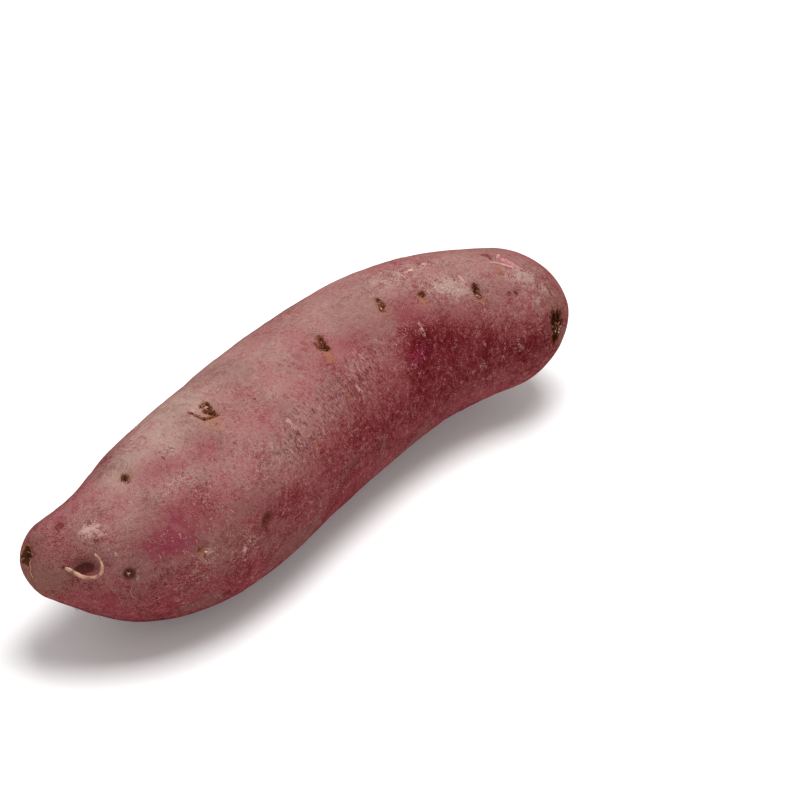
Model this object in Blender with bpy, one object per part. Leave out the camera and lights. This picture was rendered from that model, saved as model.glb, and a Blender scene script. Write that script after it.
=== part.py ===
"""A sweet potato as lifted from the ground: one long storage root, drawn out to its root tip at -X,
thick in the belly, and blunt at +X, where it broke from the stem. It bends sideways and lies on
the flat of its belly. Metres, +Z up, origin on the ground under the middle of its outline."""

import math

import bmesh
import bpy
import numpy as np

NODE = "sweet_potato"
SKIN_COLOUR = (0.38, 0.15, 0.16, 1.0)

# From the root tip to the stem end: x, y and z of the core, half width, half height
STATIONS = np.array((
    (-0.1060, -0.0148, 0.0332, 0.0073, 0.0073),
    (-0.0905, -0.0195, 0.0314, 0.0160, 0.0157),
    (-0.0725, -0.0212, 0.0283, 0.0255, 0.0256),
    (-0.0475, -0.0153, 0.0291, 0.0296, 0.0302),
    (-0.0180, -0.0023, 0.0286, 0.0289, 0.0296),
    (0.0140, 0.0117, 0.0280, 0.0288, 0.0286),
    (0.0460, 0.0198, 0.0304, 0.0270, 0.0278),
    (0.0755, 0.0182, 0.0300, 0.0240, 0.0244),
    (0.1057, 0.0084, 0.0300, 0.0206, 0.0183),
))

# How much of the length each end takes to round off
TIP_ROUND = 0.0065
STEM_ROUND = 0.022

# Slow swellings, as a share of the radius: size, waves around, waves along, start
SWELLINGS = (
    (0.008, 2, 1.6, 0.4),
    (0.006, 3, -2.3, 1.9),
    (0.004, 5, 3.1, 0.7),
)

# Eyes, dents and scars: share of the length, degrees around (90 top, 180 front), then the
# length, width and depth of the hollow
HOLLOWS = {
    "tip scar": (0.005, 110, 0.0058, 0.0060, 0.0024),
    "rootlet's bed": (0.110, 160, 0.0085, 0.0060, 0.0022),
    "ringed eye": (0.175, 168, 0.0042, 0.0046, 0.0012),
    "shoulder eye": (0.225, 88, 0.0050, 0.0090, 0.0010),
    "low eye": (0.275, 164, 0.0048, 0.0060, 0.0009),
    "waist dent": (0.375, 170, 0.0100, 0.0130, 0.0020),
    "crown eye": (0.400, 90, 0.0060, 0.0100, 0.0014),
    "middle eye": (0.595, 104, 0.0064, 0.0100, 0.0015),
    "upper eye": (0.705, 106, 0.0050, 0.0070, 0.0010),
    "small eye": (0.765, 112, 0.0040, 0.0060, 0.0007),
    "neck eye": (0.850, 122, 0.0048, 0.0090, 0.0012),
    "pin eye": (0.910, 128, 0.0030, 0.0040, 0.0006),
    "back eye": (0.330, 15, 0.0060, 0.0080, 0.0013),
    "back dent": (0.620, 350, 0.0110, 0.0120, 0.0018),
    "under eye": (0.760, 230, 0.0050, 0.0080, 0.0010),
    "stem scar": (0.975, 165, 0.0075, 0.0105, 0.0022),
}

# A dried rootlet curled over its bed: share of the length, degrees around, height over the skin
ROOTLET_PATH = (
    (0.065, 155, -0.0020),
    (0.085, 162, 0.0005),
    (0.105, 170, 0.0010),
    (0.130, 165, 0.0020),
    (0.130, 152, 0.0025),
    (0.120, 145, 0.0020),
)
ROOTLET_RADIUS = 0.0009
ROOTLET_END = 0.55

# Ends of the core line that a scar's hollow is pressed towards
CORE_SPAN = (0.06, 0.94)

RINGS = 66
RING_POINTS = 60
# Share of the rings that is spaced evenly; the rest crowd towards the two ends
EVEN_RINGS = 0.35


def spine(t):
    """The stations' values at t: a cubic B-spline that starts and ends on the outer stations."""
    before = 2 * STATIONS[:1] - STATIONS[1:2]
    after = 2 * STATIONS[-1:] - STATIONS[-2:-1]
    rows = np.concatenate((before, STATIONS, after))
    spans = len(STATIONS) - 1
    place = np.clip(np.asarray(t, float) * spans, 0, spans - 1e-9)
    first = place.astype(int)
    f = (place - first)[..., None]
    weights = ((1 - f) ** 3, 3 * f**3 - 6 * f**2 + 4, 1 + 3 * f * (1 + f - f**2), f**3)
    return sum(weight * rows[first + k] for k, weight in enumerate(weights)) / 6


def unit(vectors):
    return vectors / np.linalg.norm(vectors, axis=-1, keepdims=True)


def section_axes(t):
    """Unit vectors along the core, to the side and upwards at t."""
    step = 1e-3
    ahead = spine(np.minimum(t + step, 1))[..., :3]
    behind = spine(np.maximum(t - step, 0))[..., :3]
    along = unit(ahead - behind)
    side = unit(np.cross((0.0, 0.0, 1.0), along))
    return along, side, np.cross(along, side)


def end_taper(t):
    """Share of the full radius: a quarter ellipse at each end and 1 between them."""
    fine = np.linspace(0, 1, 1001)
    steps = np.linalg.norm(np.diff(spine(fine)[:, :3], axis=0), axis=1)
    lengths = np.concatenate(((0.0,), np.cumsum(steps)))
    run = np.interp(t, fine, lengths)
    tip = np.clip(1 - run / TIP_ROUND, 0, 1)
    stem = np.clip(1 - (lengths[-1] - run) / STEM_ROUND, 0, 1)
    return np.sqrt((1 - tip**2) * (1 - stem**2))


def smooth_skin(t, turn):
    """Points of the skin before its hollows; turn is in radians around the core."""
    values = spine(t)
    _, side, up = section_axes(t)
    swell = sum(
        size * np.sin(around * turn + 2 * math.pi * along * t + start)
        for size, around, along, start in SWELLINGS
    )
    radius = (end_taper(t) * (1 + swell))[..., None]
    across = side * values[..., 3:4] * np.cos(turn)[..., None]
    upward = up * values[..., 4:5] * np.sin(turn)[..., None]
    return values[..., :3] + radius * (across + upward)


def seat(t, degrees):
    """One place on the skin, the direction along the core there, and the direction inwards."""
    t = np.array(t, float)
    place = smooth_skin(t, np.radians(degrees))
    core = spine(np.clip(t, *CORE_SPAN))[:3]
    return place, section_axes(t)[0], unit(core - place)


def press_hollow(points, t, degrees, length, width, depth):
    """Pushes the points near one place inwards, in an oval hollow with a soft rim."""
    place, along, inward = seat(t, degrees)
    offset = points - place
    run = offset @ along
    rest = np.maximum((offset**2).sum(axis=-1) - run**2, 0)
    distance = (2 * run / length) ** 2 + 4 * rest / width**2
    return points + inward * (depth * np.exp(-distance))[..., None]


def ball_places(ball):
    """Where each point of a unit ball goes on the tuber: share of the length and turn."""
    level = np.clip(ball[:, 2], -1, 1)
    share = 1 - np.arccos(level) / math.pi
    t = EVEN_RINGS * share + (1 - EVEN_RINGS) * (1 - np.cos(math.pi * share)) / 2
    return t, np.arctan2(ball[:, 1], ball[:, 0])


def make_tuber(material):
    """The whole root from one ball: drawn out along the core, pitted, and flat where it lies."""
    shape = bmesh.new()
    bmesh.ops.create_uvsphere(shape, u_segments=RING_POINTS, v_segments=RINGS, radius=1)
    ball = np.array([vert.co for vert in shape.verts])
    points = smooth_skin(*ball_places(ball))
    for hollow in HOLLOWS.values():
        points = press_hollow(points, *hollow)
    points[:, 2] = np.maximum(points[:, 2], 0)
    middle = (points.min(axis=0) + points.max(axis=0)) / 2
    for vert, point in zip(shape.verts, points):
        vert.co = point
    mesh = bpy.data.meshes.new(NODE)
    shape.to_mesh(mesh)
    shape.free()
    mesh.shade_smooth()
    mesh.materials.append(material)
    tuber = bpy.data.objects.new(NODE, mesh)
    tuber.location = (-middle[0], -middle[1], 0)
    bpy.context.collection.objects.link(tuber)
    return tuber


def make_rootlet(location):
    """The curled rootlet as a tapering tube, its thick end buried in the skin."""
    curve = bpy.data.curves.new("rootlet", "CURVE")
    curve.dimensions = "3D"
    curve.resolution_u = 5
    curve.bevel_depth = ROOTLET_RADIUS
    curve.bevel_resolution = 1
    curve.use_fill_caps = True
    last = len(ROOTLET_PATH) - 1
    line = curve.splines.new("NURBS")
    line.points.add(last)
    line.order_u = 3
    line.use_endpoint_u = True
    for i, (t, degrees, height) in enumerate(ROOTLET_PATH):
        place, _, inward = seat(t, degrees)
        line.points[i].co = (*(place - inward * height), 1)
        line.points[i].radius = 1 + (ROOTLET_END - 1) * i / last
    holder = bpy.data.objects.new("rootlet_curve", curve)
    bpy.context.collection.objects.link(holder)
    mesh = bpy.data.meshes.new_from_object(holder.evaluated_get(bpy.context.evaluated_depsgraph_get()))
    bpy.data.objects.remove(holder)
    rootlet = bpy.data.objects.new("rootlet_guide", mesh)
    rootlet.location = location
    rootlet.hide_render = True
    rootlet.display_type = "WIRE"
    bpy.context.collection.objects.link(rootlet)
    return rootlet


def join(body, other):
    """Fuses the other object into the body, so that they are one closed solid."""
    union = body.modifiers.new("Union", "BOOLEAN")
    union.operation = "UNION"
    union.solver = "EXACT"
    union.object = other


def make_skin_material():
    material = bpy.data.materials.new("sweet_potato_skin")
    material.use_nodes = True
    shader = material.node_tree.nodes["Principled BSDF"]
    shader.inputs["Base Color"].default_value = SKIN_COLOUR
    shader.inputs["Roughness"].default_value = 0.7
    shader.inputs["Metallic"].default_value = 0.0
    return material


def main():
    for item in list(bpy.data.objects):
        bpy.data.objects.remove(item)
    tuber = make_tuber(make_skin_material())
    join(tuber, make_rootlet(tuber.location))


main()
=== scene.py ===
"""Looks of the sweet potato: its skin with eyes, scars and dusty bloom, and what clings to it."""

import math
import random

import bmesh
import bpy
import numpy as np
from mathutils import Matrix, Vector, noise
from mathutils.bvhtree import BVHTree


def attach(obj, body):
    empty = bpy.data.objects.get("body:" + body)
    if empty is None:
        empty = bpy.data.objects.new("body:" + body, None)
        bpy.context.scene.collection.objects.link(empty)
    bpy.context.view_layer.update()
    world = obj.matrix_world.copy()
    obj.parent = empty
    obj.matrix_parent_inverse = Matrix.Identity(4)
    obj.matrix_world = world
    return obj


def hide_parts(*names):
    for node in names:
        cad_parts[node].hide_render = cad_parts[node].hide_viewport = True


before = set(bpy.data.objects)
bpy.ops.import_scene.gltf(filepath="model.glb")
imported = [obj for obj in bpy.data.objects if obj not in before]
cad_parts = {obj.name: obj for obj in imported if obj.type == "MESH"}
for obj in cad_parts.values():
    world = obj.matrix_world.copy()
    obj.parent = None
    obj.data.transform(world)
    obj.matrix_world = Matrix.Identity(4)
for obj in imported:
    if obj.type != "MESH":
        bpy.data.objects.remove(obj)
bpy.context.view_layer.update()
NODE = "sweet_potato"
BODY = "root"
SEED = 7

# From the root tip to the stem end: x, y and z of the core, half width, half height
STATIONS = np.array((
    (-0.1060, -0.0148, 0.0332, 0.0073, 0.0073),
    (-0.0905, -0.0195, 0.0314, 0.0160, 0.0157),
    (-0.0725, -0.0212, 0.0283, 0.0255, 0.0256),
    (-0.0475, -0.0153, 0.0291, 0.0296, 0.0302),
    (-0.0180, -0.0023, 0.0286, 0.0289, 0.0296),
    (0.0140, 0.0117, 0.0280, 0.0288, 0.0286),
    (0.0460, 0.0198, 0.0304, 0.0270, 0.0278),
    (0.0755, 0.0182, 0.0300, 0.0240, 0.0244),
    (0.1057, 0.0084, 0.0300, 0.0206, 0.0183),
))
TIP_ROUND = 0.0065
STEM_ROUND = 0.022
SWELLINGS = (
    (0.008, 2, 1.6, 0.4),
    (0.006, 3, -2.3, 1.9),
    (0.004, 5, 3.1, 0.7),
)
CORE_SPAN = (0.06, 0.94)
MID_HEIGHT = 0.029
MID_RADIUS = 0.026
FLOOR_CLEARANCE = 0.0007
FLECKS_PER_AREA = 150000

# Share of the length, degrees around (90 top, 180 front), then the hollow's length, width, depth
HOLLOWS = {
    "tip scar": (0.005, 110, 0.0058, 0.0060, 0.0024),
    "rootlet's bed": (0.110, 160, 0.0085, 0.0060, 0.0022),
    "ringed eye": (0.175, 168, 0.0042, 0.0046, 0.0012),
    "shoulder eye": (0.225, 88, 0.0050, 0.0090, 0.0010),
    "low eye": (0.275, 164, 0.0048, 0.0060, 0.0009),
    "waist dent": (0.375, 170, 0.0100, 0.0130, 0.0020),
    "crown eye": (0.400, 90, 0.0060, 0.0100, 0.0014),
    "middle eye": (0.595, 104, 0.0064, 0.0100, 0.0015),
    "upper eye": (0.705, 106, 0.0050, 0.0070, 0.0010),
    "small eye": (0.765, 112, 0.0040, 0.0060, 0.0007),
    "neck eye": (0.850, 122, 0.0048, 0.0090, 0.0012),
    "pin eye": (0.910, 128, 0.0030, 0.0040, 0.0006),
    "back eye": (0.330, 15, 0.0060, 0.0080, 0.0013),
    "back dent": (0.620, 350, 0.0110, 0.0120, 0.0018),
    "under eye": (0.760, 230, 0.0050, 0.0080, 0.0010),
    "stem scar": (0.975, 165, 0.0075, 0.0105, 0.0022),
}

# Torn pits of each eye, from the middle of its hollow: how far along the root and around it,
# then length, width, depth, how dark
PITS = {
    "ringed eye": (
        (0.0, 0.0, 0.0030, 0.0030, 0.0010, 0.35),
    ),
    "shoulder eye": (
        (0.0003, -0.0013, 0.0018, 0.0020, 0.0008, 0.8),
        (0.0005, 0.0, 0.0020, 0.0018, 0.0009, 0.8),
        (0.0, 0.0018, 0.0016, 0.0016, 0.0007, 0.6),
    ),
    "low eye": (
        (-0.0006, -0.0008, 0.0022, 0.0024, 0.0006, 0.5),
    ),
    "waist dent": (
        (-0.0003, 0.0, 0.0028, 0.0016, 0.0005, 0.9),
    ),
    "crown eye": (
        (0.0003, 0.0002, 0.0026, 0.0024, 0.0009, 1.1),
        (0.0003, 0.0018, 0.0018, 0.0020, 0.0006, 0.9),
        (0.0021, -0.0008, 0.0015, 0.0020, 0.0005, 0.8),
        (0.0024, -0.0020, 0.0015, 0.0018, 0.0005, 0.8),
        (0.0012, -0.0025, 0.0018, 0.0015, 0.0004, 0.8),
        (-0.0038, -0.0024, 0.0015, 0.0028, 0.0005, 0.8),
        (-0.0042, 0.0, 0.0015, 0.0028, 0.0006, 0.9),
        (-0.0042, 0.0018, 0.0018, 0.0022, 0.0006, 0.9),
        (-0.0025, 0.0027, 0.0026, 0.0015, 0.0005, 0.9),
        (0.0, 0.0031, 0.0026, 0.0015, 0.0005, 0.8),
    ),
    "middle eye": (
        (0.0018, -0.0018, 0.0020, 0.0020, 0.0008, 1.0),
        (0.0009, -0.0007, 0.0020, 0.0018, 0.0008, 1.0),
        (0.0, 0.0004, 0.0022, 0.0020, 0.0010, 1.1),
        (-0.0015, 0.0014, 0.0024, 0.0020, 0.0010, 1.0),
        (-0.0018, -0.0012, 0.0018, 0.0024, 0.0006, 0.9),
        (-0.0032, 0.0006, 0.0018, 0.0020, 0.0005, 0.7),
        (-0.0004, 0.0020, 0.0018, 0.0020, 0.0006, 0.9),
    ),
    "upper eye": (
        (0.0008, 0.0, 0.0022, 0.0020, 0.0009, 1.1),
        (0.0010, -0.0020, 0.0016, 0.0024, 0.0005, 0.8),
        (-0.0010, 0.0015, 0.0018, 0.0020, 0.0006, 0.9),
    ),
    "small eye": (
        (0.0002, 0.0004, 0.0022, 0.0024, 0.0009, 1.0),
    ),
    "neck eye": (
        (0.0002, -0.0014, 0.0022, 0.0028, 0.0011, 1.2),
        (-0.0004, 0.0009, 0.0018, 0.0028, 0.0009, 1.0),
        (0.0002, 0.0023, 0.0016, 0.0018, 0.0006, 0.8),
    ),
    "pin eye": (
        (-0.0004, 0.0005, 0.0016, 0.0020, 0.0007, 0.9),
        (-0.0031, 0.0005, 0.0015, 0.0015, 0.0004, 0.7),
    ),
    "back eye": (
        (0.0, 0.0, 0.0030, 0.0034, 0.0010, 0.9),
        (0.0018, 0.0018, 0.0020, 0.0028, 0.0007, 0.8),
    ),
    "back dent": (
        (0.0, 0.0, 0.0026, 0.0036, 0.0009, 0.9),
        (0.0020, 0.0018, 0.0020, 0.0024, 0.0007, 0.7),
    ),
    "under eye": (
        (0.0, 0.0, 0.0026, 0.0034, 0.0009, 0.9),
    ),
}

# Raised lips and knobs of the eyes, from the same middles: along, around, length, width, height
LIPS = {
    "ringed eye": (
        (0.0, 0.0, 0.0010, 0.0010, 0.0008),
        (0.0013, -0.0005, 0.0022, 0.0040, 0.0004),
    ),
    "shoulder eye": ((0.0005, 0.0035, 0.0036, 0.0040, 0.0003),),
    "low eye": ((0.0014, 0.0005, 0.0020, 0.0030, 0.0004),),
    "crown eye": (
        (0.0014, -0.0012, 0.0020, 0.0020, 0.0005),
        (-0.0018, 0.0, 0.0030, 0.0040, 0.0005),
        (-0.0060, 0.0010, 0.0030, 0.0070, 0.0005),
    ),
    "middle eye": (
        (0.0014, 0.0027, 0.0030, 0.0018, 0.0004),
        (-0.0012, 0.0, 0.0014, 0.0014, 0.0004),
        (-0.0040, 0.0040, 0.0046, 0.0050, 0.0004),
    ),
    "upper eye": ((-0.0012, 0.0036, 0.0036, 0.0040, 0.0004),),
    "neck eye": ((0.0, 0.0048, 0.0036, 0.0040, 0.0004),),
    "back eye": ((0.0004, 0.0040, 0.0050, 0.0040, 0.0005),),
    "back dent": ((0.0006, 0.0045, 0.0050, 0.0040, 0.0004),),
    "under eye": ((0.0005, 0.0045, 0.0040, 0.0040, 0.0004),),
}

# Corky tan stains beside the pits, from the same middles: along, around, length, width, strength
CORK = {
    "shoulder eye": ((0.0010, 0.0008, 0.0040, 0.0044, 0.9),),
    "low eye": ((-0.0004, -0.0004, 0.0044, 0.0046, 1.0),),
    "crown eye": (
        (0.0014, -0.0012, 0.0032, 0.0032, 0.9),
        (-0.0040, 0.0047, 0.0050, 0.0070, 1.0),
        (-0.0007, 0.0043, 0.0030, 0.0030, 0.7),
    ),
    "middle eye": (
        (0.0, 0.0, 0.0050, 0.0056, 0.6),
        (-0.0032, 0.0036, 0.0044, 0.0056, 1.1),
        (-0.0052, 0.0056, 0.0034, 0.0040, 0.7),
    ),
    "upper eye": (
        (0.0, 0.0005, 0.0040, 0.0044, 0.7),
        (-0.0014, 0.0036, 0.0026, 0.0050, 0.8),
    ),
    "small eye": ((-0.0014, 0.0032, 0.0026, 0.0054, 1.1),),
    "neck eye": ((-0.0004, 0.0038, 0.0028, 0.0046, 1.0),),
    "back eye": ((0.0005, 0.0022, 0.0054, 0.0064, 1.0),),
    "back dent": ((0.0006, 0.0032, 0.0050, 0.0064, 1.0),),
    "under eye": ((0.0005, 0.0032, 0.0036, 0.0060, 1.0),),
}

# From here on a mark's place is again a share of the length and degrees around. Corky stains
# away from the eyes: place, length, width, strength
STAINS = (
    (0.895, 108, 0.0032, 0.0060, 0.9),
    (0.475, 148, 0.0018, 0.0070, 0.8),
    (0.560, 142, 0.0018, 0.0060, 0.8),
    (0.660, 90, 0.0030, 0.0026, 0.7),
    (0.150, 304, 0.0036, 0.0050, 0.9),
)

# Small pits away from the eyes, where the photo doesn't show: place, length, width, depth, darkness
STRAY_PITS = (
    (0.470, 40, 0.0020, 0.0028, 0.0008, 0.8),
    (0.540, 215, 0.0018, 0.0026, 0.0007, 0.8),
    (0.150, 300, 0.0024, 0.0030, 0.0009, 0.9),
)

# Where the bloom is thin and the skin shows a deep red, or thick (below 0): place, length,
# width, strength. On the lower front flank towards the stem end that deep red is partly
# painted shade
BARE_AND_SHADE = (
    (0.20, 90, 0.030, 0.020, -0.4),
    (0.27, 82, 0.034, 0.018, -0.5),
    (0.37, 72, 0.040, 0.016, -0.4),
    (0.30, 140, 0.010, 0.016, 0.5),
    (0.28, 100, 0.010, 0.008, 0.3),
    (0.35, 110, 0.012, 0.010, 0.3),
    (0.09, 145, 0.014, 0.014, 0.5),
    (0.24, 175, 0.040, 0.024, 0.1),
    (0.34, 170, 0.040, 0.022, 0.25),
    (0.43, 170, 0.030, 0.020, 0.3),
    (0.59, 140, 0.030, 0.010, 0.3),
    (0.63, 120, 0.012, 0.012, 0.35),
    # These rows, on the lower front flank towards the stem end, are partly painted shade
    (0.70, 140, 0.014, 0.014, 0.9),
    (0.75, 140, 0.018, 0.012, 0.7),
    (0.73, 150, 0.024, 0.014, 0.6),
    (0.82, 150, 0.018, 0.012, 0.3),
    (0.87, 165, 0.040, 0.016, 0.5),
    (0.79, 175, 0.050, 0.024, 0.35),
    (0.70, 170, 0.060, 0.022, 0.35),
    (0.93, 180, 0.026, 0.018, 0.6),
    (0.50, 160, 0.060, 0.020, 0.35),
    (0.60, 165, 0.050, 0.020, 0.35),
    (0.24, 30, 0.020, 0.014, 0.7),
    (0.56, 20, 0.024, 0.016, 0.8),
    (0.82, 350, 0.020, 0.016, 0.7),
    (0.45, 230, 0.030, 0.016, 0.5),
)

# Where the skin blushes magenta: place, length, width, strength
BLUSH = (
    (0.20, 145, 0.014, 0.008, 0.9),
    (0.23, 155, 0.014, 0.008, 0.9),
    (0.25, 135, 0.012, 0.009, 1.0),
    (0.26, 150, 0.012, 0.009, 0.9),
    (0.29, 135, 0.010, 0.012, 0.6),
    (0.28, 100, 0.014, 0.010, 0.6),
    (0.70, 147, 0.008, 0.007, 1.1),
    (0.34, 150, 0.016, 0.014, 0.5),
    (0.35, 110, 0.012, 0.010, 0.6),
    (0.56, 100, 0.012, 0.006, 0.7),
    (0.62, 115, 0.014, 0.008, 0.7),
    (0.72, 120, 0.010, 0.010, 0.9),
    (0.30, 25, 0.020, 0.014, 0.8),
    (0.78, 355, 0.020, 0.014, 0.9),
)

# Where pale grey dusting lies thick, partly painted sheen on the upper edge: place, length,
# width, strength
DUST_AND_SHEEN = (
    (0.12, 120, 0.005, 0.004, 1.0),
    (0.13, 120, 0.011, 0.008, 0.5),
    (0.31, 95, 0.010, 0.008, 0.9),
    (0.27, 115, 0.014, 0.007, 0.7),
    (0.30, 120, 0.012, 0.008, 0.5),
    (0.81, 112, 0.010, 0.006, 1.0),
    (0.82, 120, 0.012, 0.007, 1.0),
    (0.79, 112, 0.016, 0.010, 0.6),
    (0.74, 90, 0.020, 0.012, 0.7),
    (0.78, 90, 0.030, 0.012, 0.6),
    (0.60, 125, 0.016, 0.012, 0.5),
    (0.38, 135, 0.022, 0.014, 0.4),
    (0.92, 112, 0.010, 0.005, 1.2),
    (0.94, 110, 0.014, 0.014, 0.6),
    (0.28, 170, 0.010, 0.008, 0.5),
    (0.34, 175, 0.014, 0.010, 0.4),
    (0.95, 130, 0.014, 0.012, 0.6),
    # These rows along the upper edge are partly dusting and partly painted sheen
    (0.22, 75, 0.030, 0.016, 0.4),
    (0.31, 75, 0.030, 0.014, 0.4),
    (0.40, 65, 0.050, 0.020, 0.6),
    (0.70, 40, 0.040, 0.018, 0.6),
)

# Where short pale flecks roughen the skin, with dark grain and painted shade between them:
# place, length, width, strength
FLECKED = (
    (0.36, 125, 0.030, 0.026, 0.9),
    (0.30, 130, 0.014, 0.024, 0.8),
    (0.31, 95, 0.010, 0.008, 1.0),
    (0.24, 150, 0.026, 0.012, 0.5),
    (0.45, 140, 0.024, 0.018, 1.8),
    (0.54, 135, 0.028, 0.018, 1.6),
    (0.62, 130, 0.022, 0.016, 1.2),
    (0.69, 130, 0.014, 0.014, 0.8),
    (0.81, 110, 0.020, 0.012, 0.8),
    (0.87, 140, 0.022, 0.018, 0.5),
    (0.12, 125, 0.010, 0.008, 0.7),
    (0.33, 45, 0.040, 0.026, 0.8),
    (0.62, 10, 0.040, 0.026, 1.0),
    (0.80, 60, 0.024, 0.020, 0.7),
    (0.50, 250, 0.060, 0.030, 0.7),
)

# Dark red scratches: place, length, width, strength
SCRATCHES = (
    (0.070, 100, 0.0016, 0.0026, 0.8),
    (0.080, 95, 0.0016, 0.0030, 0.9),
    (0.080, 102, 0.0020, 0.0014, 0.8),
    (0.070, 110, 0.0022, 0.0014, 0.7),
    (0.130, 130, 0.0014, 0.0034, 1.0),
    (0.775, 88, 0.0050, 0.0014, 0.8),
    (0.805, 85, 0.0050, 0.0014, 0.8),
    (0.890, 86, 0.0028, 0.0020, 1.1),
    (0.895, 90, 0.0016, 0.0034, 1.2),
    (0.930, 108, 0.0034, 0.0014, 0.9),
    (0.925, 175, 0.0020, 0.0060, 0.9),
    (0.935, 180, 0.0016, 0.0050, 0.8),
    (0.450, 105, 0.0016, 0.0014, 0.9),
    (0.460, 108, 0.0020, 0.0014, 0.9),
    (0.560, 300, 0.0040, 0.0016, 0.8),
)

# Pale scuffs and healed scratches, and one painted highlight: place, length, width, strength
SCUFFS_AND_HIGHLIGHT = (
    (0.125, 120, 0.0060, 0.0044, 1.1),
    (0.330, 178, 0.0016, 0.0070, 0.9),
    (0.340, 172, 0.0014, 0.0040, 0.7),
    (0.730, 135, 0.0014, 0.0070, 0.7),
    (0.460, 130, 0.0016, 0.0060, 1.0),
    (0.455, 142, 0.0014, 0.0060, 0.8),
    (0.580, 140, 0.0016, 0.0050, 0.8),
    (0.145, 145, 0.0016, 0.0016, 0.8),
    (0.155, 148, 0.0016, 0.0016, 0.8),
    (0.140, 128, 0.0050, 0.0012, 0.8),
    (0.280, 166, 0.0016, 0.0026, 0.9),
    (0.185, 168, 0.0012, 0.0030, 0.8),
    # A painted highlight on the ridge above the crown eye's crease
    (0.390, 84, 0.0014, 0.0020, 0.8),
    (0.775, 91, 0.0040, 0.0014, 0.8),
    (0.805, 88, 0.0040, 0.0014, 0.8),
    (0.620, 60, 0.0016, 0.0080, 0.8),
    (0.400, 330, 0.0016, 0.0080, 0.8),
)

# Torn skin: flesh that shows or skin that curls, one edge and the other as places from end to
# end, and how far each edge stands up
TEARS = (
    ("flesh", ((0.905, 90), (0.915, 93), (0.925, 101), (0.935, 108)),
     ((0.905, 93), (0.910, 100), (0.920, 105), (0.935, 109)), 0.00006, 0.00006),
    ("skin", ((0.890, 98), (0.900, 99), (0.910, 102), (0.920, 106)),
     ((0.890, 99), (0.900, 101), (0.910, 104), (0.920, 107)), 0.0003, 0.00003),
    ("skin", ((0.902, 94), (0.905, 90), (0.910, 90)),
     ((0.902, 95), (0.905, 93), (0.908, 92)), 0.0007, 0.00003),
    ("flesh", ((0.832, 108), (0.837, 110), (0.840, 114)),
     ((0.830, 110), (0.834, 114), (0.840, 117)), 0.00006, 0.00006),
    ("skin", ((0.830, 108), (0.832, 112), (0.835, 116)),
     ((0.832, 108), (0.834, 112), (0.837, 116)), 0.00003, 0.0005),
    ("skin", ((0.775, 89), (0.780, 90), (0.785, 89)),
     ((0.775, 90), (0.780, 92), (0.784, 90)), 0.0004, 0.00003),
    ("skin", ((0.800, 86), (0.805, 87), (0.810, 86)),
     ((0.800, 87), (0.805, 89), (0.809, 87)), 0.0004, 0.00003),
    ("flesh", ((0.494, 349), (0.502, 348), (0.512, 350)),
     ((0.494, 352), (0.503, 354), (0.511, 353)), 0.00006, 0.00006),
    ("skin", ((0.492, 352), (0.502, 354), (0.513, 353)),
     ((0.492, 354), (0.502, 357), (0.512, 355)), 0.0006, 0.00003),
)
TEAR_STEPS = 16

# A dried rootlet curled over its bed: share of the length, degrees around, height over the skin
ROOTLET_PATH = (
    (0.065, 155, -0.0020),
    (0.085, 162, 0.0005),
    (0.105, 170, 0.0010),
    (0.130, 165, 0.0020),
    (0.130, 152, 0.0025),
    (0.120, 145, 0.0020),
)
ROOTLET_RADIUS = 0.00064

# Hairs below the ringed eye, from its middle (along, around, height over the skin), and at the
# root tip (share of the length, degrees around, height)
EYE_HAIR = (
    (0.0005, 0.0020, -0.0003),
    (0.0005, 0.0040, 0.0002),
    (0.0, 0.0065, 0.0002),
    (0.0005, 0.0090, 0.0002),
    (0.0020, 0.0110, 0.0002),
    (0.0035, 0.0125, 0.0003),
)
TIP_HAIR = (
    (0.010, 140, -0.0003),
    (0.010, 150, 0.0006),
    (0.015, 165, 0.0004),
    (0.015, 180, 0.0006),
    (0.020, 190, 0.0003),
)

# Dry brownish skin at the two ends; then painted shade in the rootlet's bed, under and beside
# the rootlet, and a dark red-brown round the ringed eye and in the waist dent
DRY = (
    (0.02, 200, 0.016, 0.018, 0.9),
    (0.05, 190, 0.016, 0.012, 0.7),
    (0.10, 170, 0.014, 0.010, 0.5),
    (0.97, 155, 0.018, 0.024, 0.9),
)
SHADE = (
    (0.100, 163, 0.0060, 0.0026, 1.1),
    (0.115, 160, 0.0046, 0.0034, 1.1),
    (0.070, 158, 0.0020, 0.0016, 0.8),
    (0.175, 168, 0.0038, 0.0038, 1.2),
    (0.375, 168, 0.0070, 0.0050, 0.8),
    (0.370, 178, 0.0040, 0.0080, 0.5),
)

# The broken ends: places, length, width, strength
TIP_SCAR = (
    (0.006, 85, 0.0044, 0.0034, 1.0),
    (0.001, 100, 0.0050, 0.0040, 1.0),
    (0.008, 110, 0.0030, 0.0024, 0.4),
    (0.005, 155, 0.0020, 0.0018, 0.7),
)
STEM_SCAR = (
    (0.960, 155, 0.0034, 0.0056, 0.9),
    (0.965, 168, 0.0044, 0.0070, 1.3),
    (0.975, 165, 0.0056, 0.0070, 0.9),
    (0.965, 180, 0.0034, 0.0050, 0.8),
)

RINGS = 380
RING_POINTS = 256
EVEN_RINGS = 0.55


def srgb(red, green, blue):
    """A colour given as 0 to 255 screen values, as the linear one that a shader takes."""
    channels = (np.array((red, green, blue)) / 255.0 + 0.055) / 1.055
    return (*(float(c) for c in channels**2.4), 1.0)


# Form of the root

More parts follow.
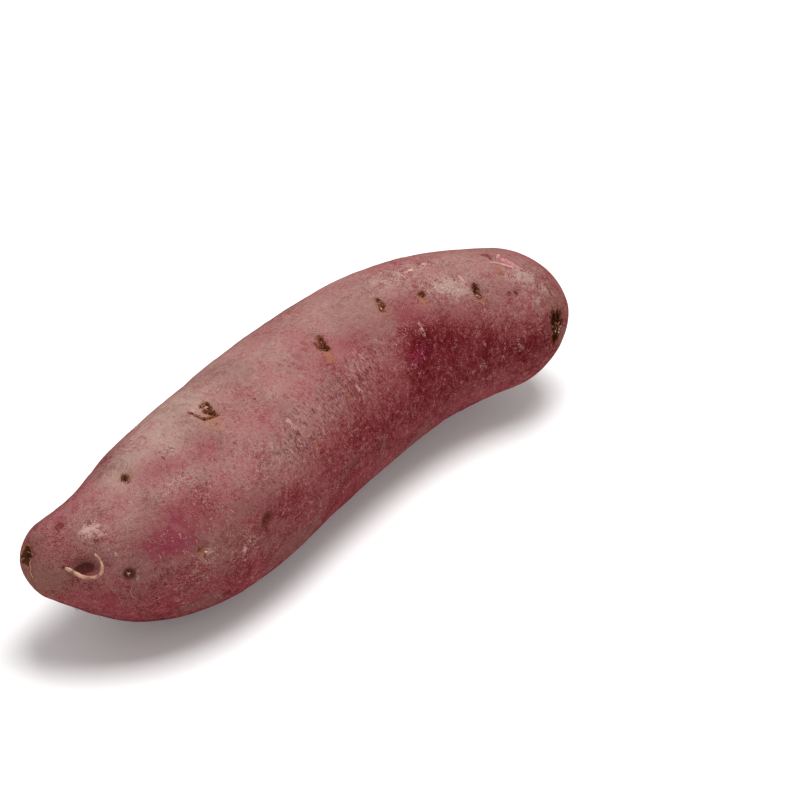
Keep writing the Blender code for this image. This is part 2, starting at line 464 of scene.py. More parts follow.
def spine(t):
    """The stations' values at t: a cubic B-spline that starts and ends on the outer stations."""
    before = 2 * STATIONS[:1] - STATIONS[1:2]
    after = 2 * STATIONS[-1:] - STATIONS[-2:-1]
    rows = np.concatenate((before, STATIONS, after))
    spans = len(STATIONS) - 1
    place = np.clip(np.asarray(t, float) * spans, 0, spans - 1e-9)
    first = place.astype(int)
    f = (place - first)[..., None]
    weights = ((1 - f) ** 3, 3 * f**3 - 6 * f**2 + 4, 1 + 3 * f * (1 + f - f**2), f**3)
    return sum(weight * rows[first + k] for k, weight in enumerate(weights)) / 6


def unit(vectors):
    return vectors / np.linalg.norm(vectors, axis=-1, keepdims=True)


def section_axes(t):
    """Unit vectors along the core, to the side and upwards at t."""
    step = 1e-3
    ahead = spine(np.minimum(t + step, 1))[..., :3]
    behind = spine(np.maximum(t - step, 0))[..., :3]
    along = unit(ahead - behind)
    side = unit(np.cross((0.0, 0.0, 1.0), along))
    return along, side, np.cross(along, side)


def core_lengths():
    """Even steps of t from the root tip to the stem end, and the core's length up to each."""
    fine = np.linspace(0, 1, 1001)
    steps = np.linalg.norm(np.diff(spine(fine)[:, :3], axis=0), axis=1)
    return fine, np.concatenate(((0.0,), np.cumsum(steps)))


def core_run(t):
    """Length of the core from the root tip to t, and its whole length."""
    fine, lengths = core_lengths()
    return np.interp(t, fine, lengths), lengths[-1]


def beside(name, along, around):
    """The place that lies some metres along the root and around it from a hollow's middle."""
    t, degrees = HOLLOWS[name][:2]
    fine, lengths = core_lengths()
    run = np.interp(t, fine, lengths) + along
    return float(np.interp(run, lengths, fine)), degrees + math.degrees(around / MID_RADIUS)


def placed(marks):
    """Rows that start with a place on the root, from marks given beside their hollows."""
    return [(*beside(name, *row[:2]), *row[2:]) for name, rows in marks.items() for row in rows]


def end_taper(t):
    """Share of the full radius: a quarter ellipse at each end and 1 between them."""
    run, whole = core_run(t)
    tip = np.clip(1 - run / TIP_ROUND, 0, 1)
    stem = np.clip(1 - (whole - run) / STEM_ROUND, 0, 1)
    return np.sqrt((1 - tip**2) * (1 - stem**2))


def smooth_skin(t, turn):
    """Points of the skin before its hollows; turn is in radians around the core."""
    values = spine(t)
    _, side, up = section_axes(t)
    swell = sum(
        size * np.sin(around * turn + 2 * math.pi * along * t + start)
        for size, around, along, start in SWELLINGS
    )
    radius = (end_taper(t) * (1 + swell))[..., None]
    across = side * values[..., 3:4] * np.cos(turn)[..., None]
    upward = up * values[..., 4:5] * np.sin(turn)[..., None]
    return values[..., :3] + radius * (across + upward)


def seat(t, degrees):
    """One place on the skin, the direction along the core there, and the direction inwards."""
    t = np.array(t, float)
    place = smooth_skin(t, np.radians(degrees))
    core = spine(np.clip(t, *CORE_SPAN))[:3]
    return place, section_axes(t)[0], unit(core - place)


def nearness(points, t, degrees, length, width):
    """1 at one place of the skin, falling softly to 0 around an oval, and the way inwards."""
    place, along, inward = seat(t, degrees)
    offset = points - place
    run = offset @ along
    rest = np.maximum((offset**2).sum(axis=-1) - run**2, 0)
    return np.exp(-((2 * run / length) ** 2) - 4 * rest / width**2), inward


def press(points, guide, rows):
    """Presses hollows into the points; guide is where the points were on the smooth skin."""
    for t, degrees, length, width, depth in rows:
        share, inward = nearness(guide, t, degrees, length, width)
        points = points + inward * (depth * share)[:, None]
    return points


def field(guide, rows):
    """Sum of soft ovals over the skin: a value for each point, for the materials to read."""
    total = np.zeros(len(guide))
    for t, degrees, length, width, strength in rows:
        total += nearness(guide, t, degrees, length, width)[0] * strength
    return total


def ball_places(ball):
    """Where each point of a unit ball goes on the tuber: share of the length and turn."""
    level = np.clip(ball[:, 2], -1, 1)
    share = 1 - np.arccos(level) / math.pi
    t = EVEN_RINGS * share + (1 - EVEN_RINGS) * (1 - np.cos(math.pi * share)) / 2
    return t, np.arctan2(ball[:, 1], ball[:, 0])


def read_vectors(collection, name):
    values = np.empty(len(collection) * 3, np.float32)
    collection.foreach_get(name, values)
    return values.reshape(-1, 3).astype(float)


def write_points(mesh, points):
    mesh.vertices.foreach_set("co", points.astype(np.float32).ravel())
    mesh.update()


def store(mesh, name, values):
    """Keeps one number for each point of a mesh, or a vector for each, under a name."""
    vector = values.ndim == 2
    layer = mesh.attributes.new(name, "FLOAT_VECTOR" if vector else "FLOAT", "POINT")
    layer.data.foreach_set("vector" if vector else "value", values.astype(np.float32).ravel())


def straightened(t, turn):
    """Each point as it would lie if the core were straight, so that marks run across the root."""
    values = spine(t)
    radius = end_taper(t)
    run, _ = core_run(t)
    return np.stack((
        run,
        values[:, 3] * radius * np.cos(turn),
        values[:, 4] * radius * np.sin(turn),
    ), axis=1)


def wrinkle_heights(straight):
    """Low waves and creases of the skin in metres, finest where the mesh can still hold them."""
    heights = np.empty(len(straight))
    for i, (run, side, up) in enumerate(straight):
        wave = noise.fractal((run * 70, side * 60, up * 60), 1.0, 2.0, 3)
        crease = noise.noise((run * 420, side * 70 + 9, up * 70))
        lump = noise.noise((run * 300 + 5, side * 300, up * 300))
        heights[i] = 0.00022 * wave - 0.00010 * max(crease, 0) ** 1.5 + 0.00005 * lump
    return heights


def make_skin(material):
    """The whole outside of the root, as one closed mesh with the fields its material reads."""
    shape = bmesh.new()
    bmesh.ops.create_uvsphere(shape, u_segments=RING_POINTS, v_segments=RINGS, radius=1)
    mesh = bpy.data.meshes.new("potato_skin")
    shape.to_mesh(mesh)
    shape.free()
    t, turn = ball_places(read_vectors(mesh.vertices, "co"))
    guide = smooth_skin(t, turn)
    straight = straightened(t, turn)
    torn = [*placed(PITS), *STRAY_PITS]
    lips = [(*place, -height) for *place, height in placed(LIPS)]
    points = press(guide, guide, [*HOLLOWS.values(), *(row[:5] for row in torn), *lips])
    write_points(mesh, points)
    normals = read_vectors(mesh.vertex_normals, "vector")
    points = points + normals * wrinkle_heights(straight)[:, None]
    points[:, 2] = np.maximum(points[:, 2], 0)
    middle = (points.min(axis=0) + points.max(axis=0)) / 2
    middle[2] = 0
    write_points(mesh, points - middle)
    store(mesh, "straight", straight)
    pits = [(*place, darkness) for *place, _, darkness in torn]
    cork = [*placed(CORK), *STAINS]
    for name, rows in (
        ("pit", pits), ("cork", cork), ("bare_and_shade", BARE_AND_SHADE), ("blush", BLUSH), ("dust_and_sheen", DUST_AND_SHEEN),
        ("flecked", FLECKED), ("scratch", SCRATCHES), ("scuff_and_highlight", SCUFFS_AND_HIGHLIGHT), ("dry", DRY),
        ("shade", SHADE), ("tip", TIP_SCAR), ("stem", STEM_SCAR),
    ):
        store(mesh, name, field(guide, rows))
    mesh.shade_smooth()
    mesh.materials.append(material)
    skin = bpy.data.objects.new("potato_skin", mesh)
    bpy.context.collection.objects.link(skin)
    return skin, middle


class Surface:
    """The finished skin as a thing to put other pieces on."""

    def __init__(self, skin, middle):
        self.middle = middle
        self.tree = BVHTree.FromObject(skin, bpy.context.evaluated_depsgraph_get())

    def at(self, t, degrees, height=0.0):
        """The point over one place of the skin at a height, and the way outwards there."""
        place, _, inward = seat(t, degrees)
        start = Vector(place - inward * 0.01 - self.middle)
        hit, normal, _, _ = self.tree.ray_cast(start, Vector(inward))
        point = hit + normal * height
        point.z = max(point.z, FLOOR_CLEARANCE)
        return point, normal


# Materials

class Value:
    """A socket that can be used in sums, so that shader maths reads as plain expressions."""

    def __init__(self, finish, socket):
        self.finish = finish
        self.socket = socket

    def math(self, operation, *others, clamp=False):
        terms = [self, *others]
        node = self.finish.node("ShaderNodeMath", {"operation": operation, "use_clamp": clamp}, *terms)
        return Value(self.finish, node.outputs[0])

    def __add__(self, other):
        return self.math("ADD", other)

    def __mul__(self, other):
        return self.math("MULTIPLY", other)

    def __sub__(self, other):
        return self.math("SUBTRACT", other)

    def __rsub__(self, other):
        return self * -1 + other

    __radd__ = __add__
    __rmul__ = __mul__

    def step(self, low, high):
        """0 below low, 1 above high and smooth between them."""
        settings = {"interpolation_type": "SMOOTHSTEP"}
        node = self.finish.node("ShaderNodeMapRange", settings, self, low, high, 0.0, 1.0)
        return Value(self.finish, node.outputs[0])

    def clamped(self):
        return self.math("ADD", 0.0, clamp=True)


class Finish:
    """One material, and the few ways in which its nodes are made."""

    def __init__(self, name, constants):
        self.material = bpy.data.materials.new(name)
        self.material.use_nodes = True
        self.tree = self.material.node_tree
        self.shader = self.tree.nodes["Principled BSDF"]
        for socket, value in constants.items():
            self.shader.inputs[socket].default_value = value

    def node(self, kind, settings=None, *values, **named):
        """A node with its settings made first, and then its sockets' values or links."""
        node = self.tree.nodes.new(kind)
        for name, value in (settings or {}).items():
            setattr(node, name, value)
        for socket, value in (*enumerate(values), *named.items()):
            self.put(node.inputs[socket], value)
        return node

    def put(self, socket, value):
        """Links a socket to a value, or sets a plain number or colour on it."""
        if isinstance(value, Value):
            self.tree.links.new(value.socket, socket)
        elif isinstance(value, bpy.types.NodeSocket):
            self.tree.links.new(value, socket)
        else:
            socket.default_value = value

    def kept(self, name):
        """A field that the mesh keeps for its points."""
        return Value(self, self.node("ShaderNodeAttribute", {"attribute_name": name}).outputs["Fac"])

    def ragged(self, name, rough):
        """A field of marks made rough by noise, but only where there are marks."""
        marks = self.kept(name)
        return marks + rough * marks.step(0.02, 0.25)

    def place(self, attribute=None, stretch=(1, 1, 1), shift=(0, 0, 0)):
        """Where a point lies, in metres, stretched and shifted for one pattern."""
        if attribute:
            vector = self.node("ShaderNodeAttribute", {"attribute_name": attribute}).outputs["Vector"]
        else:
            vector = self.node("ShaderNodeTexCoord").outputs["Object"]
        return self.node("ShaderNodeMapping", None, vector, shift, (0, 0, 0), stretch).outputs[0]

    def noise(self, place, scale, detail=2.0, roughness=0.5, distortion=0.0):
        node = self.node(
            "ShaderNodeTexNoise", None,
            Vector=place, Scale=scale, Detail=detail, Roughness=roughness, Distortion=distortion,
        )
        return Value(self, node.outputs["Fac"])

    def dots(self, place, scale, radius, share, ragged):
        """Scattered ragged dots: radius as a share of their spacing, and how many there are."""
        cells = self.node("ShaderNodeTexVoronoi", None, Vector=place, Scale=scale)
        distance = Value(self, cells.outputs["Distance"]) + ragged * radius * 2.0
        chance = Value(self, self.node("ShaderNodeSeparateColor", None, cells.outputs["Color"]).outputs[0])
        return (1 - distance.step(radius * 0.5, radius)) * chance.math("LESS_THAN", share)

    def height(self):
        """How far a point lies over the middle of the root, in metres."""
        vector = self.node("ShaderNodeTexCoord").outputs["Object"]
        return Value(self, self.node("ShaderNodeSeparateXYZ", None, vector).outputs["Z"]) - MID_HEIGHT

    def ramp(self, value, stops):
        """Colours along a value, each stop a place from 0 to 1 and a colour."""
        node = self.node("ShaderNodeValToRGB", None, value)
        elements = node.color_ramp.elements
        while len(elements) < len(stops):
            elements.new(0.5)
        for element, (place, colour) in zip(elements, stops):
            element.position = place
            element.color = colour
        return node.outputs["Color"]

    def mix(self, first, second, share):
        """Goes from the first colour to the second as share goes from 0 to 1."""
        node = self.node("ShaderNodeMix", {"data_type": "RGBA"})
        self.put(node.inputs[0], share)
        self.put(node.inputs[6], first)
        self.put(node.inputs[7], second)
        return node.outputs[2]

    def colour(self, colour):
        self.put(self.shader.inputs["Base Color"], colour)

    def roughness(self, value):
        self.put(self.shader.inputs["Roughness"], value)

    def relief(self, height, depth, strength=1.0):
        """Fine relief from a height field of 0 to 1 whose full height is depth metres."""
        node = self.node("ShaderNodeBump", None, Strength=strength, Distance=depth, Height=height)
        self.put(self.shader.inputs["Normal"], node.outputs[0])


# From deep red to a pale bloom; the darker stops also give painted shade low on the flank
BLOOM_AND_SHADE_STOPS = (
    (0.00, srgb(88, 18, 26)),
    (0.20, srgb(108, 36, 42)),
    (0.40, srgb(130, 62, 66)),
    (0.60, srgb(146, 92, 90)),
    (0.78, srgb(162, 120, 114)),
    (1.00, srgb(182, 152, 140)),
)
TAUPE = srgb(134, 100, 92)
ROSE = srgb(164, 84, 92)
MAGENTA = srgb(130, 36, 60)
PALE_DUST_AND_SHEEN = srgb(180, 152, 141)
SCUFF_AND_HIGHLIGHT_PINK = srgb(202, 162, 152)
FLECK = srgb(188, 146, 136)
DARK_GRAIN_AND_SHADE = srgb(80, 34, 36)
SCRATCH_RED = srgb(100, 34, 32)
CORK_TAN = srgb(156, 106, 78)
CORK_BROWN = srgb(104, 58, 34)
PIT_DARK = srgb(62, 28, 14)
PRICK_BROWN = srgb(98, 50, 44)
SCAR_BROWN = srgb(64, 34, 20)
SCAR_BLACK = srgb(44, 20, 12)
SHADE_RED = srgb(74, 32, 28)
DRY_SKIN = srgb(142, 100, 86)


class Grains:
    """The noises that the skin's colours share, each about -0.2 to 0.2 and named by its size."""

    def __init__(self, finish):
        skin = finish.place("straight")
        across = finish.place("straight", stretch=(1.0, 0.45, 0.45))
        self.skin = skin
        self.blotch = finish.noise(skin, 34, 3.0, 0.55) - 0.5
        self.tone = finish.noise(skin, 58, 4.0, 0.6, 0.5) - 0.5
        self.cloud = finish.noise(skin, 130, 4.0, 0.6) - 0.5
        self.patch = finish.noise(skin, 330, 3.0, 0.6) - 0.5
        self.mottle = finish.noise(skin, 760, 4.0, 0.7) - 0.5
        self.grain = finish.noise(skin, 2600, 2.0, 0.6) - 0.5
        self.streak = finish.noise(across, 1150, 3.0, 0.6, 0.4) - 0.5
        self.rough = self.mottle * 0.8 + self.grain * 1.1


def bloom_and_shade_colour(finish, grains):
    """The thin dusty bloom over the red skin, thicker on top, and painted shade low down, with its blushes,
    dusty places and painted sheen.
    """
    cloud, patch, rough = grains.cloud, grains.patch, grains.rough
    # Deep red where the bloom is thin, partly painted shade on the lower front flank
    bare_and_shade = finish.kept("bare_and_shade")
    # Paler towards the top and darker red towards the bottom: partly a thicker bloom on top, partly painted
    # shade on the lower flank
    film_and_shade = 0.45 + finish.height() * 11.0 + grains.blotch * 0.6 + cloud * 0.5 + patch * 0.45
    film_and_shade = film_and_shade + rough - bare_and_shade * 0.32
    colour = finish.ramp(film_and_shade, BLOOM_AND_SHADE_STOPS)
    covered = 1 - bare_and_shade.step(0.15, 0.7)
    rosy = (grains.tone * -1 + grains.grain * 0.3).step(-0.04, 0.14)
    colour = finish.mix(colour, ROSE, rosy * covered * 0.32)
    taupe = (grains.tone + grains.grain * 0.3).step(-0.02, 0.14)
    colour = finish.mix(colour, TAUPE, taupe * covered * 0.4)
    rubbed = (finish.kept("blush") + cloud * 2.2 + patch * 5.0 + rough * 4.0).step(0.50, 1.15)
    colour = finish.mix(colour, MAGENTA, rubbed * 0.75)
    # Pale grey where dusting lies thick, and painted sheen along the upper edge
    dusted_and_sheen = (finish.kept("dust_and_sheen") + patch * 3.2 + rough * 4.0).step(0.40, 1.7)
    colour = finish.mix(colour, PALE_DUST_AND_SHEEN, dusted_and_sheen * 0.8)
    dry = (finish.kept("dry") + cloud * 1.2 + rough * 3.0).step(0.2, 1.3)
    return finish.mix(colour, DRY_SKIN, dry * 0.65), film_and_shade


def marked_colour(finish, grains, colour):
    """Flecks with dark grain and painted shade between them, scratches, scuffs with one painted highlight, tiny
    pricks, the stains beside the eyes and painted shade in hollows.
    """
    flecked = (finish.kept("flecked") + grains.cloud * 1.6 + grains.patch * 2.0).step(0.15, 1.5)
    flecks = (grains.streak - 0.22 + flecked * 0.16).step(0.0, 0.09)
    colour = finish.mix(colour, FLECK, flecks * 0.5)
    # Darker between the flecks: partly dark grain, partly painted shade beside the raised flecks
    gaps_and_shade = (-0.20 + flecked * 0.15 - grains.streak).step(0.0, 0.09)
    colour = finish.mix(colour, DARK_GRAIN_AND_SHADE, gaps_and_shade * (0.2 + flecked * 0.4))
    dark = finish.ragged("scratch", grains.mottle * 4.0 + grains.streak * 2.0).step(0.35, 0.9)
    colour = finish.mix(colour, SCRATCH_RED, dark * 0.75)
    # Pale scuffs and healed scratches, and one painted highlight by the crown eye
    light = finish.ragged("scuff_and_highlight", grains.mottle * 3.2 + grains.grain * 1.6).step(0.30, 1.0)
    colour = finish.mix(colour, SCUFF_AND_HIGHLIGHT_PINK, light * 0.7)
    pricks = finish.dots(grains.skin, 120, 0.07, 0.08, grains.mottle)
    colour = finish.mix(colour, PRICK_BROWN, pricks * 0.6)
    cork = finish.ragged("cork", grains.mottle * 2.4 + grains.grain * 2.0).step(0.30, 1.0)
    colour = finish.mix(colour, CORK_TAN, cork * 0.7)
    # Painted shade in the rootlet's bed, and dark red-brown round the ringed eye and in the waist dent
    shade = (finish.kept("shade") + grains.mottle * 0.8).step(0.2, 0.9)
    return finish.mix(colour, SHADE_RED, shade * 0.85), flecks - gaps_and_shade * flecked


def scarred_colour(finish, grains, colour):
    """The torn pits of the eyes and the broken ends of the root."""
    mottle = grains.mottle
    pit = finish.ragged("pit", mottle * 2.0 + grains.grain)
    colour = finish.mix(colour, CORK_BROWN, pit.step(0.20, 0.50) * 0.95)
    colour = finish.mix(colour, PIT_DARK, pit.step(0.50, 0.95))
    tip = finish.ragged("tip", mottle * 1.6)
    colour = finish.mix(colour, CORK_TAN, tip.step(0.06, 0.36) * 0.75)
    colour = finish.mix(colour, SCAR_BROWN, tip.step(0.40, 0.66) * 0.9)
    colour = finish.mix(colour, SCAR_BLACK, (tip + grains.streak * 1.6).step(0.90, 1.6) * 0.6)
    stem = finish.ragged("stem", mottle * 1.8 + grains.streak * 2.4 + grains.patch * 0.9)
    colour = finish.mix(colour, CORK_BROWN, stem.step(0.15, 0.45) * 0.85)
    return finish.mix(colour, SCAR_BLACK, stem.step(0.40, 0.80)), pit


def skin_finish():
    """Rose-magenta skin under a dusty bloom, flecked in patches, with corky brown eyes, and painted shade and
    sheen in its colours.
    """
    finish = Finish("sweet_potato_skin", {"Specular IOR Level": 0.0})
    grains = Grains(finish)
    colour, film_and_shade = bloom_and_shade_colour(finish, grains)
    colour, raised = marked_colour(finish, grains, colour)
    colour, pit = scarred_colour(finish, grains, colour)
    finish.colour(colour)
    finish.roughness(0.62 + film_and_shade.step(0.1, 0.8) * 0.16)
    relief = 0.5 + grains.mottle * 0.9 + grains.grain * 0.7 + grains.cloud * 0.4 + raised * 0.25
    finish.relief(relief - pit.step(0.25, 0.8) * 0.5, 0.0008, 0.8)
    return finish.material


def fibre_finish(name, light, dark, roughness=0.8):
    """Dry root: one colour going into a darker one in short lengths."""
    finish = Finish(name, {"Roughness": roughness, "Specular IOR Level": 0.1})
    place = finish.place()
    patch = finish.noise(place, 500, 3.0)
    fine = finish.noise(place, 2400, 2.0)
    finish.colour(finish.mix(light, dark, (patch * 0.8 + fine * 0.2).step(0.42, 0.66)))
    finish.relief(fine, 0.0002, 0.6)
    return finish.material


def torn_finish(name, light, dark):
    """Torn skin or bare flesh, paler and deeper in small patches."""
    finish = Finish(name, {"Roughness": 0.7, "Specular IOR Level": 0.15})
    patch = finish.noise(finish.place(), 900, 3.0)
    finish.colour(finish.mix(light, dark, patch.step(0.4, 0.62)))
    finish.relief(patch, 0.0001, 0.6)
    return finish.material


def floor_finish():
    finish = Finish("floor_white", {
        "Roughness": 0.6, "Emission Color": (1.0, 1.0, 1.0, 1.0), "Emission Strength": 0.10,
    })
    tone = finish.noise(finish.place(), 3, 2.0)
    finish.colour(finish.mix(srgb(246, 245, 244), srgb(250, 250, 250), tone))
    return finish.material


# Pieces that cling to the skin

def fibres(name, paths, material, sides=1):
    """Thin tapering strands in one mesh: each path is its points, start radius and end radius."""
    curve = bpy.data.curves.new(name, "CURVE")
    curve.dimensions = "3D"
    curve.resolution_u = 5
    curve.bevel_depth = 1.0
    curve.bevel_resolution = sides
    curve.use_fill_caps = True
    for points, start, end in paths:
        line = curve.splines.new("NURBS")
        line.points.add(len(points) - 1)
        line.order_u = 3
        line.use_endpoint_u = True
        last = len(points) - 1
        for i, point in enumerate(points):
            line.points[i].co = (*point, 1)
            line.points[i].radius = start + (end - start) * i / last
    holder = bpy.data.objects.new(name, curve)
    bpy.context.collection.objects.link(holder)
    mesh = bpy.data.meshes.new_from_object(holder.evaluated_get(bpy.context.evaluated_depsgraph_get()))
    bpy.data.objects.remove(holder)
    mesh.name = name
    mesh.materials.clear()
    mesh.materials.append(material)
    mesh.shade_smooth()
    strands = bpy.data.objects.new(name, mesh)
    bpy.context.collection.objects.link(strands)
    return strands


def dress(piece):
    """A finished piece goes with the root's body."""
    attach(piece, BODY)
    return piece


def make_rootlet(surface, material):
    """The dried rootlet, curled over its bed, thick where it leaves the skin."""
    points = []
    for t, degrees, height in ROOTLET_PATH:
        place, _, inward = seat(t, degrees)
        points.append(Vector(place - inward * height - surface.middle))
    rootlet = fibres("curled_rootlet", [(points, ROOTLET_RADIUS, ROOTLET_RADIUS * 0.5)], material, sides=3)
    for vert in rootlet.data.vertices:
        place = vert.co * 900
        vert.co += Vector(noise.noise_vector(place)) * 0.00018
    return dress(rootlet)


def wander(surface, draw, t, degrees, heading, length, lift, steps=6):
    """Points of one hair root that lies over the skin from a place, bending as it goes."""
    root_length = core_run(1.0)[1]
    points = [surface.at(t, degrees, -0.0004)[0]]
    for i in range(steps):
        heading += draw.uniform(-28, 28)
        step = length / steps
        t += step * math.cos(math.radians(heading)) / root_length
        degrees += math.degrees(step * math.sin(math.radians(heading)) / 0.026)
        t = min(max(t, 0.004), 0.996)
        rise = lift * (i + 1) / steps
        points.append(surface.at(t, degrees, rise + 0.0001)[0])
    return points


def make_hair_roots(surface, material):
    """Thread-like roots: one below the ringed eye as it lies, and strays from the other eyes."""
    draw = random.Random(SEED)
    eye_hair = [
        surface.at(*beside("ringed eye", along, around), height)[0] for along, around, height in EYE_HAIR
    ]
    tip_hair = [surface.at(*row)[0] for row in TIP_HAIR]
    paths = [(eye_hair, 0.00012, 0.00007), (tip_hair, 0.00020, 0.00010)]
    for t, degrees, *_ in placed(PITS)[::3]:
        hair = wander(surface, draw, t, degrees, draw.uniform(0, 360),
                      draw.uniform(0.001, 0.003), draw.uniform(0.0001, 0.0008))
        paths.append((hair, draw.uniform(0.00006, 0.00010), 0.00004))
    for _ in range(30):
        hair = wander(surface, draw, draw.uniform(0.03, 0.95), draw.uniform(0, 360),
                      draw.uniform(0, 360), draw.uniform(0.001, 0.003), draw.uniform(0.0001, 0.0008), 4)
        paths.append((hair, draw.uniform(0.00006, 0.0001), 0.00004))
    return dress(fibres("hair_roots", paths, material))


def make_end_fibres(surface, name, centre, spread, reach, count, seed, material):
    """Broken strands that stand in a scar at one end of the root."""
    draw = random.Random(seed)
    t0, degrees0 = centre
    _, _, inward = seat(t0, degrees0)
    paths = []
    for _ in range(count):
        place = Vector(seat(t0, degrees0)[0] - surface.middle)
        side = Vector([draw.uniform(-1, 1) for _ in range(3)])
        out = -Vector(inward)
        side = (side - out * side.dot(out)).normalized()
        base = place + side * draw.uniform(0.3, 1) * spread + out * 0.006
        hit, normal, _, _ = surface.tree.ray_cast(base, -out)
        if hit is None:
            continue
        height = draw.uniform(0.4, 1) * reach
        lean = side * draw.uniform(-0.5, 0.9) * height
        bend = Vector([draw.uniform(-0.4, 0.4) * height for _ in range(3)])
        points = (hit - out * 0.0006, hit + out * height * 0.5 + lean * 0.3, hit + out * height + lean + bend)
        paths.append((points, draw.uniform(0.00016, 0.0003), 0.00006))
    return dress(fibres(name, paths, material))


def finished(shape, name, material):
    """Makes a bmesh a piece of the root."""
    mesh = bpy.data.meshes.new(name)
    shape.to_mesh(mesh)
    shape.free()
    mesh.shade_smooth()
    mesh.materials.append(material)
    piece = bpy.data.objects.new(name, mesh)
    bpy.context.collection.objects.link(piece)
    return dress(piece)


def on_skin(surface, t, degrees, heading=0.0, height=0.0):
    """The matrix that sets a thing on the skin: X along the heading, Z outwards."""
    place, normal = surface.at(t, degrees, height)
    ahead, _ = surface.at(min(t + 0.01, 0.999), degrees)
    run = ahead - place
    run = (run - normal * run.dot(normal)).normalized()
    frame_axes = Matrix((run, normal.cross(run), normal)).transposed().to_4x4()
    return Matrix.Translation(place) @ frame_axes @ Matrix.Rotation(math.radians(heading), 4, "Z")


def strewn(draw, row):
    """A random place within one oval of a table, denser towards its middle."""
    t, degrees, length, width = row[:4]
    at = t + draw.gauss(0, 0.24) * length / core_run(1.0)[1]
    turned = degrees + draw.gauss(0, 0.24) * math.degrees(width / MID_RADIUS)
    return min(max(at, 0.01), 0.99), turned


def add_crumb(shape, matrix, size, roundness):
    """One lump of cork: a ball squeezed to the given half sizes."""
    bmesh.ops.create_icosphere(
        shape, subdivisions=roundness, radius=1, matrix=matrix @ Matrix.Diagonal((*size, 1)),
    )


def make_scabs(surface, material):
    """Corky crumbs in and beside the eyes and in the stem scar, sunk half into the skin."""
    draw = random.Random(SEED + 1)
    shape = bmesh.new()
    spots = [(row, 3) for row in placed(PITS)] + [(row, 2) for row in placed(CORK)]
    spots += [((0.968, 168, 0.007, 0.012), 40), ((0.007, 104, 0.006, 0.006), 9)]
    for row, count in spots:
        for _ in range(count):
            size = draw.uniform(0.00012, 0.00032)
            stretch = size * draw.uniform(0.7, 1.6)
            matrix = on_skin(surface, *strewn(draw, row), draw.uniform(0, 360))
            add_crumb(shape, matrix, (stretch, size, size * draw.uniform(0.4, 0.8)), 2)
    for vert in shape.verts:
        vert.co += Vector(noise.noise_vector(vert.co * 2600)) * 0.00012
    return finished(shape, "eye_scabs", material)


def make_pale_and_glint_crumbs(surface, material):
    """Pale grains of dry flesh in the eyes and the stem scar; in the stem scar they are also painted glints
    where the light catches it.
    """
    draw = random.Random(SEED + 5)
    shape = bmesh.new()
    beside_eyes = (
        ("ringed eye", 0.0, 0.0, 0.0006, 5), ("low eye", 0.0008, 0.0005, 0.0012, 4),
        # The stem scar's grains also stand in as painted glints
        ("shoulder eye", 0.0004, 0.0012, 0.0020, 5), ("stem scar", -0.0022, 0.0032, 0.0030, 5),
        ("stem scar", 0.0, 0.0050, 0.0040, 6), ("neck eye", -0.0002, 0.0018, 0.0016, 4),
        ("crown eye", 0.0012, -0.0010, 0.0014, 4), ("upper eye", -0.0004, 0.0006, 0.0014, 3),
    )
    heaps = [(*beside(name, along, around), spread, count) for name, along, around, spread, count in beside_eyes]
    heaps += [(0.31, 95, 0.0060, 5), (0.82, 118, 0.0080, 10), (0.80, 113, 0.0080, 6)]
    for t, degrees, spread, count in heaps:
        for _ in range(count):
            size = draw.uniform(0.00012, 0.00030)
            place = strewn(draw, (t, degrees, spread, spread))
            matrix = on_skin(surface, *place, draw.uniform(0, 360), 0.0001)
            add_crumb(shape, matrix, (size * draw.uniform(0.8, 1.6), size, size * 0.7), 2)
    for vert in shape.verts:
        vert.co += Vector(noise.noise_vector(vert.co * 2600)) * 0.00010
    return finished(shape, "pale_and_glint_crumbs", material)


def make_flecks(surface, material):
    """Short raised cork flecks that lie across the root, thickest on its front."""
    draw = random.Random(SEED + 6)
    shape = bmesh.new()
    for row in FLECKED:
        count = round(row[4] * row[2] * row[3] * FLECKS_PER_AREA)
        for _ in range(count):
            matrix = on_skin(surface, *strewn(draw, row), 90 + draw.gauss(0, 22))
            long = min(draw.expovariate(1 / 0.00036) + 0.00016, 0.0011)
            add_crumb(shape, matrix, (long, draw.uniform(0.00006, 0.00013), 0.00006), 1)
    return finished(shape, "cork_flecks", material)


def edge_place(edge, share):
    """A place along an edge that is given as a row of places."""
    along = np.linspace(0, 1, len(edge))
    return tuple(float(np.interp(share, along, column)) for column in zip(*edge))


def make_tears(surface, kind, name, material):
    """Thin sheets between the two edges of each tear of one kind, ragged along the edges."""
    shape = bmesh.new()
    for k, (made_of, first, second, first_rise, second_rise) in enumerate(TEARS):
        if made_of != kind:
            continue
        made = bmesh.ops.create_grid(shape, x_segments=TEAR_STEPS, y_segments=4, size=0.5)
        for vert in made["verts"]:
            share, across = vert.co.x + 0.5, vert.co.y + 0.5
            ragged = 0.25 * noise.noise((share * 9, k * 3.1, across * 2)) * 4 * across * (1 - across)
            blend = min(max(across + ragged, 0), 1)
            t0, degrees0 = edge_place(first, share)
            t1, degrees1 = edge_place(second, share)
            frill = 1 + 0.5 * noise.noise((share * 6, k * 5.3, 0))
            height = (second_rise * blend**2 + first_rise * (1 - blend) ** 2) * frill
            vert.co, _ = surface.at(t0 + (t1 - t0) * blend, degrees0 + (degrees1 - degrees0) * blend, height)
    bmesh.ops.recalc_face_normals(shape, faces=shape.faces)
    bmesh.ops.solidify(shape, geom=shape.faces[:], thickness=0.00010)
    return finished(shape, name, material)


# Studio

def make_floor():
    shape = bmesh.new()
    bmesh.ops.create_grid(shape, x_segments=2, y_segments=2, size=3)
    mesh = bpy.data.meshes.new("floor")
    shape.to_mesh(mesh)
    shape.free()
    mesh.materials.append(floor_finish())
    floor = bpy.data.objects.new("floor", mesh)
    bpy.context.collection.objects.link(floor)


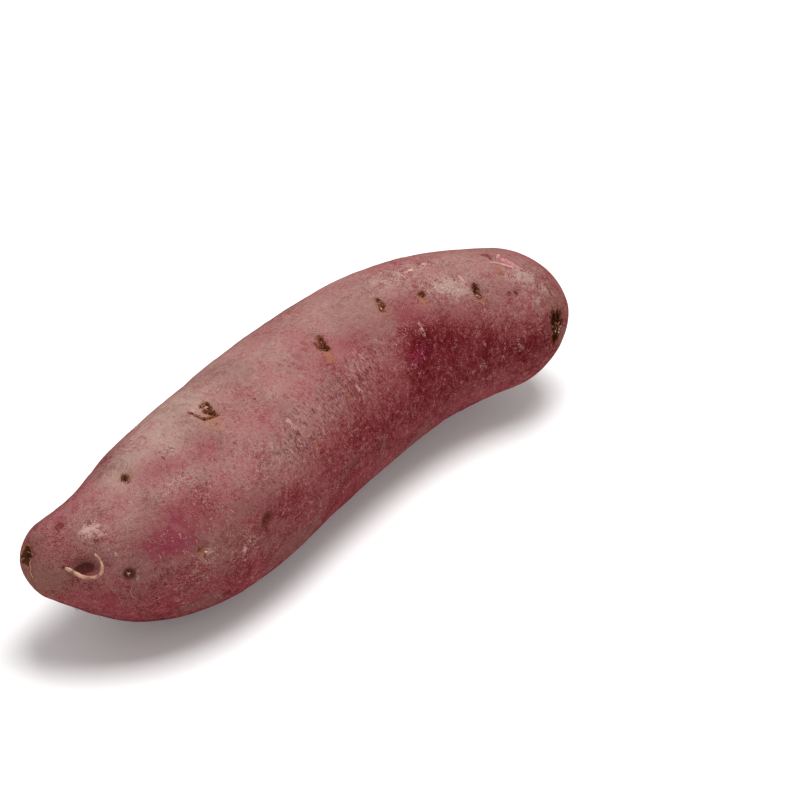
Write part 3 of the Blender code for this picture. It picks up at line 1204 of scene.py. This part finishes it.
def aim(item, target):
    """Turns a camera or a lamp to look at a point, with its top side up."""
    item.rotation_euler = (Vector(target) - item.location).to_track_quat("-Z", "Y").to_euler()


def make_lamp(name, place, size, watts, target=(0.0, 0.0, 0.03)):
    data = bpy.data.lights.new(name, "AREA")
    data.shape = "RECTANGLE"
    data.size, data.size_y = size
    data.energy = watts
    lamp = bpy.data.objects.new(name, data)
    lamp.location = place
    aim(lamp, target)
    bpy.context.collection.objects.link(lamp)


CAMERA_AIM = (0.0570, 0.0308, 0.0)
CAMERA_TURN = math.radians(-35)
CAMERA_HEIGHT = math.radians(34)
CAMERA_DISTANCE = 1.07
CAMERA_LENS = 150


def make_camera():
    data = bpy.data.cameras.new("camera")
    data.lens = CAMERA_LENS
    camera = bpy.data.objects.new("camera", data)
    level = math.cos(CAMERA_HEIGHT)
    back = Vector((math.sin(CAMERA_TURN) * level, -math.cos(CAMERA_TURN) * level, math.sin(CAMERA_HEIGHT)))
    camera.location = Vector(CAMERA_AIM) + back * CAMERA_DISTANCE
    aim(camera, CAMERA_AIM)
    bpy.context.collection.objects.link(camera)
    bpy.context.scene.camera = camera


def light_studio():
    world = bpy.data.worlds.new("studio")
    world.use_nodes = True
    world.node_tree.nodes["Background"].inputs["Color"].default_value = (1, 1, 1, 1)
    world.node_tree.nodes["Background"].inputs["Strength"].default_value = 0.42
    bpy.context.scene.world = world
    make_lamp("overhead", (0.15, -0.05, 1.2), (0.7, 0.7), 15)
    bpy.context.scene.view_settings.view_transform = "Standard"


def main():
    make_camera()
    light_studio()
    make_floor()
    skin, middle = make_skin(skin_finish())
    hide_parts(NODE)
    dress(skin)
    surface = Surface(skin, middle)
    tan = fibre_finish("dry_rootlet", srgb(194, 152, 130), srgb(140, 92, 72))
    hair = fibre_finish("hair_root", srgb(190, 132, 118), srgb(146, 84, 76))
    dark = fibre_finish("stem_fibre", srgb(96, 58, 40), srgb(40, 20, 12))
    scab = fibre_finish("cork_crumb", srgb(152, 94, 64), srgb(84, 42, 26), 0.9)
    # Pale grains of flesh, and painted glints in the stem scar
    crumb_and_glint = fibre_finish("pale_and_glint_crumb", srgb(208, 176, 162), srgb(164, 120, 106), 0.9)
    fleck = fibre_finish("cork_fleck", srgb(188, 144, 134), srgb(148, 96, 92), 0.8)
    torn = torn_finish("torn_skin", srgb(198, 158, 148), srgb(172, 122, 116))
    flesh = torn_finish("pink_flesh", srgb(182, 124, 126), srgb(156, 96, 100))
    make_rootlet(surface, tan)
    make_hair_roots(surface, hair)
    make_end_fibres(surface, "tip_fibres", (0.005, 110), 0.0026, 0.0010, 5, SEED + 3, tan)
    make_end_fibres(surface, "stem_fibres", (0.970, 166), 0.0040, 0.0011, 30, SEED + 4, dark)
    make_scabs(surface, scab)
    make_pale_and_glint_crumbs(surface, crumb_and_glint)
    make_flecks(surface, fleck)
    make_tears(surface, "skin", "torn_skin", torn)
    make_tears(surface, "flesh", "bared_flesh", flesh)


main()
